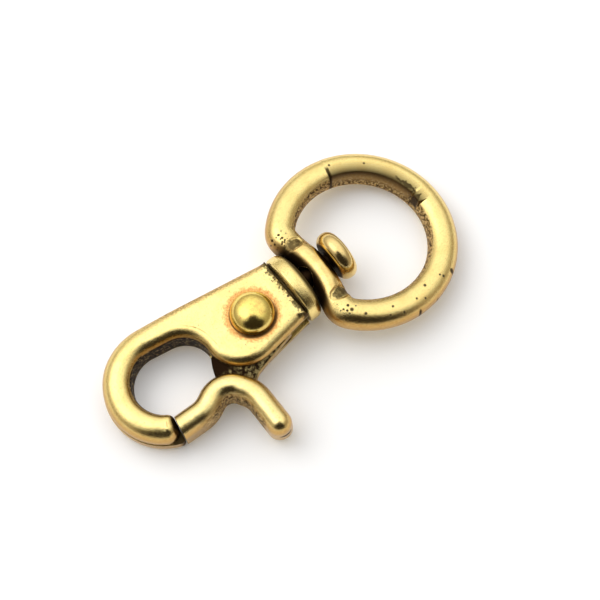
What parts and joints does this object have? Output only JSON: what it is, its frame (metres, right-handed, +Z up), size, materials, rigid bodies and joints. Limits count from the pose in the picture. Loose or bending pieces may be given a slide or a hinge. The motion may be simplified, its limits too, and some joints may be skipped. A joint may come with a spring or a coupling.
{
  "type": "swivel snap hook",
  "caption": "Cast brass swivel snap hook with a sprung thumb lever that closes the hook and a D-shaped ring that turns on a stud.",
  "frame": {"origin": "centre of the bounding box on the surface that the part lies on", "axes": "+X from the hook towards the ring, along the swivel axis as seen from above; +Z up, out of the face with the rivet's head"},
  "size_m": [0.0542, 0.0284, 0.0088],
  "materials": {
    "hook": "polished cast brass with dark patina in the recesses",
    "lever": "polished cast brass with dark patina in the recesses",
    "rivet": "polished brass",
    "spring": "plain spring wire",
    "ring": "cast brass with rough pitted patches",
    "stud": "smooth brass, a little redder than the castings"
  },
  "bodies": {
    "hook": {"hook_body": "hook", "pivot_rivet": "rivet", "torsion_spring": "spring", "swivel_stud": "stud"},
    "lever": {"trigger_lever": "lever"},
    "ring": {"swivel_ring": "ring"}
  },
  "joints": [
    {"name": "lever_pivot", "type": "hinge", "parent": "hook", "child": "lever", "pos_m": [-0.00443, 0.0008, 0.00377], "axis": [-0.0603, 0, 0.9982], "range_deg": [0, 22], "stiffness_Nm_per_rad": 0.02, "springref_deg": -34.38},
    {"name": "ring_swivel", "type": "hinge", "parent": "hook", "child": "ring", "pos_m": [0.00635, 0.00105, 0.00442], "axis": [0.9982, 0, 0.0603], "continuous": true}
  ]
}
